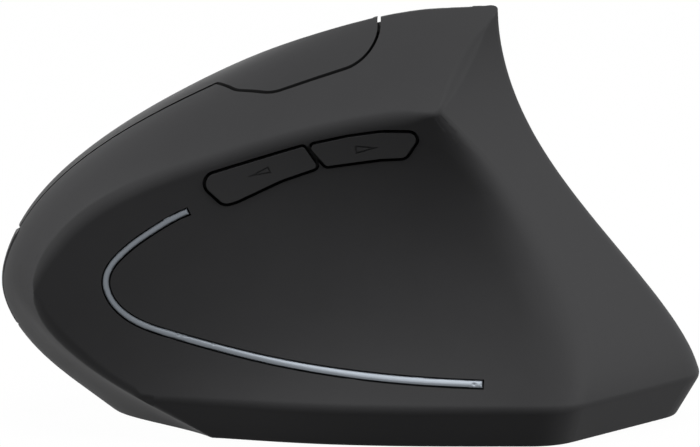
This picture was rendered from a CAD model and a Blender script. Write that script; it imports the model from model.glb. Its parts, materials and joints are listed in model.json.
import json

import bmesh
import bpy
import numpy as np
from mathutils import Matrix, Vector
from mathutils.bvhtree import BVHTree
from mathutils.kdtree import KDTree

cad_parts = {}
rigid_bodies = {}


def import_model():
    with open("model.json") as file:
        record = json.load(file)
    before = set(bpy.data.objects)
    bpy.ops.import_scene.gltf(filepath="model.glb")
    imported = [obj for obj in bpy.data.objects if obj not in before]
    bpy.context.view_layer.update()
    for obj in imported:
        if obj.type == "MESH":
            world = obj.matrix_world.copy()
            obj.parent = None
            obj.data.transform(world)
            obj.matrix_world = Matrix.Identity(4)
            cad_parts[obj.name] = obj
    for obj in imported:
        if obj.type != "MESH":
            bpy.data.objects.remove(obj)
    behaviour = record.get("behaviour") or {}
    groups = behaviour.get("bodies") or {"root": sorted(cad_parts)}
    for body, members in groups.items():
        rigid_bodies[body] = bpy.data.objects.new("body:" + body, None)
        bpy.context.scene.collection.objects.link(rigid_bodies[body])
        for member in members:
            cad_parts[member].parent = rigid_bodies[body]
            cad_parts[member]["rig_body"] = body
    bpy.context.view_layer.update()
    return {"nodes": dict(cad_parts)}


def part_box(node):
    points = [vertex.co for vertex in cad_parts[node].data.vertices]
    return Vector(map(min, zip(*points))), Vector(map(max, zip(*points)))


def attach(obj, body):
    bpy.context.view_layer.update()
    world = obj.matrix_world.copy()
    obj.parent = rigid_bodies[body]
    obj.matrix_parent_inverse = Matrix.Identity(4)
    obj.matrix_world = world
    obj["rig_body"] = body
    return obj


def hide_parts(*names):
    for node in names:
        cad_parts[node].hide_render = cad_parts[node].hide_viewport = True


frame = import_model()

# Camera: a long lens on the thumb side, level with the palm and tipped a little down, so that the
# mouse's nose points left and its whole length fills the frame.
scene = bpy.context.scene
scene.view_settings.view_transform = "Standard"
aim_point = Vector((-0.0201, 0.0003, 0.0379))
view_tip = np.radians(12.0)
view_way = Vector((np.cos(view_tip), 0.0, -np.sin(view_tip)))
frame_width = 0.1194
camera_lens = 1000.0
camera = bpy.data.objects.new("camera", bpy.data.cameras.new("camera"))
camera.data.lens = camera_lens
camera_distance = frame_width * camera_lens / camera.data.sensor_width
camera.location = aim_point - view_way * camera_distance
camera.rotation_mode = "QUATERNION"
camera.rotation_quaternion = view_way.to_track_quat("-Z", "Y")
camera.data.clip_end = 3 * camera_distance
scene.collection.objects.link(camera)
scene.camera = camera


# Studio: a white sweep under one wide soft lamp, with others before the nose, behind the palm and,
# weakest, on the finger side. The thumb side gets little light, as in a product shot of a black
# object.
def linear(colour):
    """A hex colour, as it shows on a screen, as linear light with full alpha."""
    parts = np.array([int(colour[i:i + 2], 16) for i in (1, 3, 5)]) / 255
    light = np.where(parts <= 0.04045, parts / 12.92, ((parts + 0.055) / 1.055) ** 2.4)
    return (*light.tolist(), 1.0)


def node(tree, kind, settings=None, **links):
    """Adds a node, sets its properties and numbered or named inputs, and links sockets into it."""
    made = tree.nodes.new("ShaderNode" + kind)
    for key, value in (settings or {}).items():
        if isinstance(key, str) and hasattr(made, key):
            setattr(made, key, value)
        else:
            made.inputs[key].default_value = value
    for key, socket in links.items():
        index = int(key[1:]) if key[0] == "i" and key[1:].isdigit() else key.replace("_", " ")
        tree.links.new(socket, made.inputs[index])
    return made


def area_lamp(name, place, size, power):
    """A square lamp of this size in metres and power in watts, at a place, facing the mouse."""
    lamp = bpy.data.lights.new(name, "AREA")
    lamp.shape = "SQUARE"
    lamp.size = size
    lamp.energy = power
    holder = bpy.data.objects.new(name, lamp)
    holder.location = place
    holder.rotation_mode = "QUATERNION"
    holder.rotation_quaternion = (body_middle - Vector(place)).to_track_quat("-Z", "Y")
    scene.collection.objects.link(holder)


body_middle = Vector((0.0, 0.0, 0.035))
area_lamp("top_lamp", (-0.10, -0.05, 0.75), 0.6, 5.5)
area_lamp("nose_lamp", (-0.17, 0.77, 0.36), 0.45, 3.6)
area_lamp("palm_lamp", (-0.14, -0.80, 0.38), 0.45, 6.2)
area_lamp("finger_lamp", (0.75, 0.05, 0.35), 0.5, 1.8)

pure_white = linear("#ffffff")
room_light = 0.05
world = bpy.data.worlds.new("studio")
world.use_nodes = True
scene.world = world
tree = world.node_tree
tree.nodes.clear()
rays = node(tree, "LightPath")
camera_or_gloss = node(tree, "Math", {"operation": "MAXIMUM"}, i0=rays.outputs["Is Camera Ray"],
                       i1=rays.outputs["Is Glossy Ray"])
seen = node(tree, "Math", {"operation": "MAXIMUM"}, i0=camera_or_gloss.outputs[0],
            i1=rays.outputs["Is Transmission Ray"])
level = node(tree, "MapRange", {"To Min": room_light, "To Max": 1.0}, Value=seen.outputs[0])
background = node(tree, "Background", {"Color": pure_white}, Strength=level.outputs[0])
node(tree, "OutputWorld", i0=background.outputs[0])


# Floor: the sweep's level part, pure white to the camera as in a cut-out picture, which still
# takes the mouse's own soft shadow. It lies a little under the glide feet.
def empty_material(name):
    """A new material and its node tree, with no node in it yet."""
    material = bpy.data.materials.new(name)
    material.use_nodes = True
    material.node_tree.nodes.clear()
    return material, material.node_tree


floor_half = 1.5
floor_drop = 0.0001
paper_glow = 1.07
glow_share = 0.92
floor_mesh = bpy.data.meshes.new("floor")
floor_signs = ((-1, -1), (1, -1), (1, 1), (-1, 1))
floor_corners = [(x * floor_half, y * floor_half, -floor_drop) for x, y in floor_signs]
floor_mesh.from_pydata(floor_corners, [], [(0, 1, 2, 3)])
floor = bpy.data.objects.new("floor", floor_mesh)
scene.collection.objects.link(floor)
paper, tree = empty_material("WhiteSweepPaper")
rays = node(tree, "LightPath")
matte = node(tree, "BsdfDiffuse", {"Color": linear("#6a6a6a")})
bright = node(tree, "Emission", {"Color": pure_white, "Strength": paper_glow})
seen = node(tree, "Math", {"operation": "MAXIMUM"}, i0=rays.outputs["Is Camera Ray"],
            i1=rays.outputs["Is Glossy Ray"])
share = node(tree, "Math", {"operation": "MULTIPLY", 1: glow_share}, i0=seen.outputs[0])
both = node(tree, "MixShader", i0=share.outputs[0], i1=matte.outputs[0], i2=bright.outputs[0])
node(tree, "OutputMaterial", i0=both.outputs[0])
floor.data.materials.append(paper)


# Shell and click buttons: one two-part moulding in soft-touch coated ABS, with rounded creases.
# The coating stops at the seams, so the walls inside them are bare black plastic. The click
# buttons' solids lie 0.4 mm low, and their skins are lifted level with the shell.
def finish_of(name, colour, roughness, specular, ior=1.5, metallic=0.0, grain=0.4, depth=0.01,
              mottle=0.1, smudge=0.05, stretch=(1.0, 1.0, 1.0)):
    """A moulded, coated or plated surface. Its colour and roughness drift in soft patches about
    8 mm wide, and a grain of this width and depth in millimetres gives it its relief. Real grain
    is often finer than the picture can show, and then it is drawn as coarse as it needs to be."""
    material, tree = empty_material(name)
    place = node(tree, "TexCoord").outputs["Object"]
    patches = node(tree, "TexNoise", {"Scale": patches_per_metre, "Detail": 3.0, "Roughness": 0.55},
                   Vector=place)
    shade = np.array(linear(colour))
    dark = (*(shade[:3] * (1 - mottle)), 1.0)
    light = (*(shade[:3] * (1 + mottle)), 1.0)
    tint = node(tree, "Mix", {"data_type": "RGBA", 6: dark, 7: light}, i0=patches.outputs["Fac"])
    matt = node(tree, "MapRange", {"To Min": roughness - smudge, "To Max": roughness + smudge},
                Value=patches.outputs["Fac"])
    drawn = node(tree, "Mapping", {"Scale": stretch}, Vector=place)
    grains = node(tree, "TexNoise", {"Scale": 1000.0 / grain, "Detail": 2.0, "Roughness": 0.6},
                  Vector=drawn.outputs[0])
    relief = node(tree, "Bump", {"Strength": 0.5, "Distance": depth / 1000},
                  Height=grains.outputs["Fac"])
    skin = node(tree, "BsdfPrincipled",
                {"Specular IOR Level": specular, "Metallic": metallic, "IOR": ior},
                Base_Color=tint.outputs[2], Roughness=matt.outputs[0], Normal=relief.outputs[0])
    node(tree, "OutputMaterial", i0=skin.outputs[0])
    return material


patches_per_metre = 120.0
soft_touch = finish_of("SoftTouchCoatedABS", "#303031", 0.60, 0.10, grain=0.45, depth=0.012)
seam_wall = finish_of("BareSeamABS", "#0b0b0c", 0.55, 0.10, ior=1.54, depth=0.004)
skin_names = ("main_shell", "left_click_button", "right_click_button")
outer_names = skin_names + ("forward_button", "back_button", "palm_panel", "trim_strip", "base_plate")
join_reach = 4e-6
least_edge = 1e-6


def joined_mesh(name):
    """A copy of a CAD node's triangles, with the corners that share a place made one. Each corner
    keeps the solid's own surface normal as an attribute."""
    data = frame["nodes"][name].data
    mesh = bmesh.new()
    mesh.from_mesh(data)
    kept = mesh.loops.layers.float_vector.new("surface_normal")
    for face, polygon in zip(mesh.faces, data.polygons):
        for corner, number in zip(face.loops, polygon.loop_indices):
            corner[kept] = data.corner_normals[number].vector
    bmesh.ops.remove_doubles(mesh, verts=mesh.verts, dist=join_reach)
    bmesh.ops.dissolve_degenerate(mesh, edges=mesh.edges, dist=least_edge)
    mesh.normal_update()
    return mesh


def search_tree_of(names):
    """A search tree over the triangles of several CAD nodes."""
    points = []
    faces = []
    for name in names:
        data = frame["nodes"][name].data
        start = len(points)
        points += [tuple(v.co) for v in data.vertices]
        faces += [[start + i for i in p.vertices] for p in data.polygons]
    return BVHTree.FromPolygons(points, faces)


# The creases to round are found on the solids. Where a crease turns less than least_turn it stays
# sharp, and its radius grows to the full one at full_turn.
skins = {name: joined_mesh(name) for name in skin_names}
outside = search_tree_of(outer_names)
least_turn = np.radians(11.0)
full_turn = np.radians(24.0)
seam_reach = 0.0012
air_lift = 2e-4
sample_step = 4e-4


def open_to_air(place, way):
    """Whether nothing of the mouse lies ahead of a place on its surface."""
    return outside.ray_cast(place + way * air_lift, way)[0] is None


def crease_samples(name):
    """Places on the sharp outer creases of a node, 0.4 mm apart, each with the outward normals of
    the upper and the lower face beside it. An edge counts where it is convex, both faces look
    into open air, and no other node's seam runs along it."""
    others = search_tree_of([other for other in outer_names if other != name])
    rows = []
    for edge in skins[name].edges:
        if len(edge.link_faces) != 2 or not edge.is_convex:
            continue
        upper, lower = sorted((face.normal for face in edge.link_faces), key=lambda n: -n.z)
        if upper.angle(lower, 0.0) < least_turn:
            continue
        start, end = (corner.co for corner in edge.verts)
        middle = (start + end) / 2
        if others.find_nearest(middle, seam_reach)[0] is not None:
            continue
        if not (open_to_air(middle, upper) and open_to_air(middle, lower)):
            continue
        along = end - start
        count = max(1, int(along.length / sample_step))
        for step in range(count):
            place = start + along * ((step + 0.5) / count)
            rows.append((*place, *upper, *lower))
    return rows


def unit_rows(rows):
    """Each row divided by its length."""
    return rows / np.maximum(np.linalg.norm(rows, axis=1, keepdims=True), 1e-12)


def smooth_step(share):
    """The share s, held from 0 to 1, as s squared times (3 - 2 s)."""
    share = np.clip(share, 0.0, 1.0)
    return share * share * (3 - 2 * share)


def weights_within(reach):
    """For each sample, equal weights on the samples nearer than this, adding up to one."""
    close = between < reach
    return close / close.sum(axis=1, keepdims=True)


# Each sample's two normals are the mean over the samples near it. The radius follows the place:
# over the thumb, over the fingers, on the lip, or on the base's rim. It shrinks where the crease
# itself turns a corner, which shows in a short mean normal, and eases along the crease.
crease_radius = 0.0030
ridge_radius = 0.0012
lip_radius = 0.0020
rim_radius = 0.0006
lip_top = 0.012
rim_top = 0.002
blend_reach = 0.0016
bend_reach = 0.0035
fade_reach = 0.0045
corner_share = 0.12
corner_length = 0.72
straight_length = 0.94
samples = np.array([row for name in skin_names for row in crease_samples(name)])
crease_place = samples[:, :3]
upper_normal = samples[:, 3:6]
lower_normal = samples[:, 6:9]
between = np.linalg.norm(crease_place[:, None] - crease_place[None], axis=2)
near = weights_within(blend_reach)
crease_upper = unit_rows(near @ upper_normal)
crease_lower = unit_rows(near @ lower_normal)
crease_middle = unit_rows(crease_upper + crease_lower)
crease_across = unit_rows(crease_upper - crease_lower)
crease_along = unit_rows(np.cross(crease_upper, crease_lower))
crease_half = np.arccos(np.clip((crease_upper * crease_lower).sum(axis=1), -1, 1)) / 2
wide = weights_within(bend_reach)
steady = np.minimum(np.linalg.norm(wide @ upper_normal, axis=1),
                    np.linalg.norm(wide @ lower_normal, axis=1))
straight = smooth_step((steady - corner_length) / (straight_length - corner_length))
crease_size = np.where(crease_lower[:, 0] > 0, ridge_radius, crease_radius)
crease_size = np.where(crease_place[:, 2] < lip_top, lip_radius, crease_size)
crease_size = np.where(crease_place[:, 2] < rim_top, rim_radius, crease_size)
crease_size = crease_size * smooth_step((2 * crease_half - least_turn) / (full_turn - least_turn))
crease_size = crease_size * (corner_share + (1 - corner_share) * straight)
far = weights_within(fade_reach)
crease_size = np.minimum(crease_size, far @ crease_size)
crease_size = far @ crease_size
crease_run = crease_size * np.tan(crease_half)
crease_tree = KDTree(len(crease_place))
for number, place in enumerate(crease_place):
    crease_tree.insert(place, number)
crease_tree.balance()
skin_depth = 0.0008
arc_share = 0.5


def nearest_crease(points):
    """For each point, the number of the nearest crease sample and its distance."""
    found = np.array([crease_tree.find(point)[1:] for point in points])
    return found[:, 0].astype(int), found[:, 1]


def rounded(points):
    """Moves points near a crease onto a round edge, and gives the edge's normals there. A point at
    run s along a face, counted from the crease, goes to the angle s / run * half turn of the arc
    of the crease's radius that touches both faces. Points deeper than the skin stay. The third
    result says how far the arc's normal counts at each point: wholly up to half the run, and then
    less and less."""
    found, gap = nearest_crease(points)
    middle = crease_middle[found]
    half = crease_half[found][:, None]
    size = crease_size[found][:, None]
    run = np.maximum(crease_run[found][:, None], 1e-9)
    away = points - crease_place[found]
    away -= (away * crease_along[found]).sum(axis=1, keepdims=True) * crease_along[found]
    across = crease_across[found]
    across = np.where((away * across).sum(axis=1, keepdims=True) < 0, -across, across)
    face_way = -np.sin(half) * middle + np.cos(half) * across
    face_out = np.cos(half) * middle + np.sin(half) * across
    share = np.clip((away * face_way).sum(axis=1, keepdims=True) / run, 0, 1)
    depth = -(away * face_out).sum(axis=1, keepdims=True)
    angle = share * half
    arc = size * (np.cos(angle) * middle + np.sin(angle) * across) - size / np.cos(half) * middle
    shift = arc - share * run * face_way
    hold = 1 - smooth_step((depth - skin_depth) / skin_depth)
    reach = (gap[:, None] < run + 2 * skin_depth) & (share < 1)
    faced = unit_rows(np.cos(angle) * middle + np.sin(angle) * across)
    fading = smooth_step((share - arc_share) / (1 - arc_share))
    counts = np.where(reach, hold * (1 - fading), 0.0)
    return points + np.where(reach, shift * hold, 0.0), faced, counts


# The skins get short edges near a crease, so that the arc is smooth. Faces that look at another
# wall across a gap narrower than seam_width are a seam's walls.
refine_reach = 0.0022
longest_edge = 0.00055
edge_tests = 9
seam_width = 0.0013
seam_lift = 5e-5
cap_lift = {"main_shell": 0.0, "left_click_button": 0.0004, "right_click_button": 0.0004}


def near_crease(edge):
    """Whether an edge passes near a crease, tested at places along it."""
    start, end = (corner.co for corner in edge.verts)
    half = (end - start).length / 2
    if crease_tree.find((start + end) / 2)[2] > refine_reach + half:
        return False
    shares = np.linspace(0, 1, edge_tests)
    return any(crease_tree.find(start.lerp(end, share))[2] < refine_reach for share in shares)


def refined(mesh, wanted, longest):
    """Halves the edges of a mesh that a test asks for until none is longer than this."""
    edges = list(mesh.edges)
    while edges:
        chosen = [edge for edge in edges if edge.calc_length() > longest and wanted(edge)]
        if not chosen:
            return
        made = bmesh.ops.subdivide_edges(mesh, edges=chosen, cuts=1)
        corners = [item for item in made["geom_split"] if isinstance(item, bmesh.types.BMVert)]
        beside = dict.fromkeys(face for corner in corners for face in corner.link_faces)
        bmesh.ops.triangulate(mesh, faces=[face for face in beside if len(face.verts) > 3])
        edges = list(dict.fromkeys(edge for corner in corners for edge in corner.link_edges))


for name in skin_names:
    mesh = skins[name]
    refined(mesh, near_crease, longest_edge)
    for face in mesh.faces:
        face.smooth = True
        place = face.calc_center_median() + face.normal * seam_lift
        face.material_index = int(outside.ray_cast(place, face.normal, seam_width)[0] is not None)
    data = bpy.data.meshes.new(name + "_skin")
    mesh.to_mesh(data)
    data.validate()
    places = np.empty(len(data.vertices) * 3)
    data.vertices.foreach_get("co", places)
    new_places, faced, counts = rounded(places.reshape(-1, 3))
    normals = np.empty(len(data.loops) * 3)
    data.attributes["surface_normal"].data.foreach_get("vector", normals)
    data.attributes.remove(data.attributes["surface_normal"])
    corners = np.empty(len(data.loops), dtype=int)
    data.loops.foreach_get("vertex_index", corners)
    normals = (1 - counts[corners]) * normals.reshape(-1, 3) + counts[corners] * faced[corners]
    new_places[:, 2] += cap_lift[name]
    data.vertices.foreach_set("co", new_places.ravel())
    data.normals_split_custom_set(unit_rows(normals).tolist())
    data.materials.append(soft_touch)
    data.materials.append(seam_wall)
    skin = bpy.data.objects.new(name + "_skin", data)
    scene.collection.objects.link(skin)
    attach(skin, frame["nodes"][name]["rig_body"])
    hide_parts(name)


# Thumb buttons: two caps of bare fine-matte ABS with their arrows moulded in, held behind the
# wall by a thin flange. Bare ABS is a little smoother than the coated shell, so it glints more.
def dress(material, *names):
    """Gives a material to CAD nodes."""
    for name in names:
        for spot in frame["nodes"][name].material_slots:
            spot.material = material


thumb_abs = finish_of("FineMatteABS", "#2c2c2d", 0.50, 0.14, ior=1.54, grain=0.4, depth=0.008)
dress(thumb_abs, "forward_button", "back_button")

# Trim strip: an arc of satin aluminium, drawn to a crowned section, bent and pressed into its
# groove in the thumb face. Brushing along its length leaves hairlines, drawn 0.3 mm apart so that
# they show.
satin_metal = finish_of("SatinAnodisedAluminium", "#70757b", 0.46, 0.5, ior=1.45, metallic=1.0,
                        grain=0.3, depth=0.006, mottle=0.06, stretch=(1.0, 0.12, 1.0))
strip_half = 0.00058
strip_grain = 0.00028
shoulder_drop = 0.00030
outward = 0.5
sharp_turn = np.radians(40)


def faces_out(face):
    """Whether a face of the strip looks out of the thumb face, which is towards -X."""
    return face.normal.x < -outward


def on_strip_face(edge):
    """Whether an edge borders the strip's outer face."""
    return any(faces_out(face) for face in edge.link_faces)


bar_mesh = joined_mesh("trim_strip")
refined(bar_mesh, on_strip_face, strip_grain)
bar_mesh.normal_update()
rim_edges = [edge for edge in bar_mesh.edges if sum(map(faces_out, edge.link_faces)) == 1]
rim_tree = KDTree(len(rim_edges))
for number, edge in enumerate(rim_edges):
    rim_tree.insert((edge.verts[0].co + edge.verts[1].co) / 2, number)
rim_tree.balance()
bar_mesh.verts.index_update()
outer_faces = [face for face in bar_mesh.faces if faces_out(face)]
face_corners = sorted({corner.index for face in outer_faces for corner in face.verts})
bar = bpy.data.meshes.new("trim_bar")
bar_mesh.to_mesh(bar)
bar.attributes.remove(bar.attributes["surface_normal"])
places = np.empty(len(bar.vertices) * 3)
bar.vertices.foreach_get("co", places)
places = places.reshape(-1, 3)
from_rim = np.array([rim_tree.find(places[number])[2] for number in face_corners])
from_middle = 1 - np.clip(from_rim / strip_half, 0, 1)
places[face_corners, 0] += shoulder_drop * from_middle ** 2
bar.vertices.foreach_set("co", places.ravel())
bar.shade_smooth()
bar.set_sharp_from_angle(angle=sharp_turn)
bar.materials.append(satin_metal)
trim_bar = bpy.data.objects.new("trim_bar", bar)
scene.collection.objects.link(trim_bar)
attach(trim_bar, frame["nodes"]["trim_strip"]["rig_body"])
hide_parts("trim_strip")

# Palm panel: a thermoplastic rubber pad let into the shell behind the click buttons. It is
# duller than the coating around it, with a coarser grain for grip.
pad_rubber = finish_of("MouldedGripTPE", "#262627", 0.72, 0.10, ior=1.52, grain=0.7, depth=0.03)
dress(pad_rubber, "palm_panel")

# Scroll wheel: a ribbed rubber tyre on a nylon hub, turning on a steel axle in a nylon carrier.
# The rubber is matt with a faint bloom, and the nylon keeps a slight moulded sheen.
tyre_rubber = finish_of("WheelTyreRubber", "#1f1f20", 0.78, 0.12, ior=1.52, grain=0.5, depth=0.02,
                        mottle=0.16)
moulded_nylon = finish_of("GlassFilledNylon", "#37373a", 0.55, 0.30, ior=1.53, grain=0.5,
                          depth=0.015)
dress(tyre_rubber, "wheel_tyre")
dress(moulded_nylon, "wheel_hub", "wheel_carrier", "side_button_bracket", "battery_tray")

# Screws, axle and battery contacts: zinc or nickel plated steel. Plating gives an even pale grey
# with a soft shine and fine turning marks.
plated_steel = finish_of("PlatedSteel", "#a9abad", 0.30, 0.5, ior=1.45, metallic=1.0, grain=0.25,
                         depth=0.004, mottle=0.05)
dress(plated_steel, "wheel_axle", "thumb_screws", "finger_screws", "board_screws", "base_screws",
      "contact_springs", "rear_contact", "front_contacts")

# Small controls: DPI button, power slider and stowed receiver, all small mouldings of semi-gloss
# ABS that stand out a little from the matt faces around them.
gloss_abs = finish_of("SemiGlossABS", "#1c1c1d", 0.38, 0.16, ior=1.54, grain=0.35, depth=0.004,
                      smudge=0.03)
dress(gloss_abs, "dpi_button", "power_slider", "nano_receiver")

# Base plate and battery door: ABS from a spark-eroded mould, whose texture of rounded pits half a
# millimetre wide hides scratches from the desk. The plate is screwed up into the shell's posts.
pitted_abs = finish_of("SparkTexturedABS", "#2a2a2c", 0.62, 0.22, ior=1.54, grain=0.55, depth=0.04)
dress(pitted_abs, "base_plate", "battery_door")

# Glide feet: pads of polyethylene glued to the base. They are waxy and smooth, and polish in use.
glide_plastic = finish_of("GlidePolyethylene", "#4a4a4c", 0.32, 0.40, ior=1.51, grain=1.2,
                          depth=0.004, mottle=0.08)
dress(glide_plastic, "front_foot", "left_rear_foot", "right_rear_foot")

# Circuit boards: glass laminate under green solder mask. The copper tracks under the mask show as
# paler lines about 1.3 mm apart, and the mask itself is glossy.
track_pitch = 0.0013
track_length = 0.0052
track_half = 0.00012
board_mask, tree = empty_material("SolderMaskLaminate")
place = node(tree, "TexCoord").outputs["Object"]
tracks = node(tree, "TexBrick", {"Color1": linear("#0d4a2a"), "Color2": linear("#10552f"),
                                 "Mortar": linear("#2c7a4c"), "Scale": 1.0,
                                 "Mortar Size": track_half, "Brick Width": track_length,
                                 "Row Height": track_pitch}, Vector=place)
mask = node(tree, "BsdfPrincipled", {"Roughness": 0.28, "IOR": 1.55},
            Base_Color=tracks.outputs["Color"])
node(tree, "OutputMaterial", i0=mask.outputs[0])
dress(board_mask, "thumb_board", "finger_board", "main_board")

# Switches, encoder and chips: black PBT cases and epoxy packages, soldered to the boards. They
# have an even low sheen.
switch_pbt = finish_of("SwitchCasePBT", "#242427", 0.45, 0.35, ior=1.57, grain=0.3, depth=0.006)
dress(switch_pbt, "forward_switch", "back_switch", "left_microswitch", "right_microswitch",
      "wheel_switch", "dpi_switch", "wheel_encoder", "optical_sensor", "radio_chip",
      "power_switch")

# Sensor lens: clear moulded polycarbonate over the window in the base. It has a faint haze in
# patches about 3 mm wide.
haze_patches = 300.0
lens_clear, tree = empty_material("ClearPolycarbonate")
place = node(tree, "TexCoord").outputs["Object"]
haze = node(tree, "TexNoise", {"Scale": haze_patches, "Detail": 1.0}, Vector=place)
clouded = node(tree, "MapRange", {"To Min": 0.03, "To Max": 0.10}, Value=haze.outputs["Fac"])
lens = node(tree, "BsdfPrincipled",
            {"Base Color": linear("#e8eef2"), "Transmission Weight": 1.0, "IOR": 1.585},
            Roughness=clouded.outputs[0])
node(tree, "OutputMaterial", i0=lens.outputs[0])
dress(lens_clear, "sensor_lens")

# Battery cells: steel cans in a shrunk plastic sleeve, darker ahead of a line across the middle
# than behind it. The line's place is read along Y.
battery_low, battery_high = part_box("left_battery")
sleeve_line = (battery_low.y + battery_high.y) / 2
cell_sleeve, tree = empty_material("CellShrinkSleeve")
place = node(tree, "SeparateXYZ", Vector=node(tree, "TexCoord").outputs["Object"])
ahead = node(tree, "Math", {"operation": "GREATER_THAN", 1: sleeve_line}, i0=place.outputs["Y"])
sleeve = node(tree, "Mix", {"data_type": "RGBA", 6: linear("#7f8a94"), 7: linear("#3a4652")},
              i0=ahead.outputs[0])
wrapped = node(tree, "BsdfPrincipled", {"Roughness": 0.3, "IOR": 1.54},
               Base_Color=sleeve.outputs[2])
node(tree, "OutputMaterial", i0=wrapped.outputs[0])
dress(cell_sleeve, "left_battery", "right_battery")
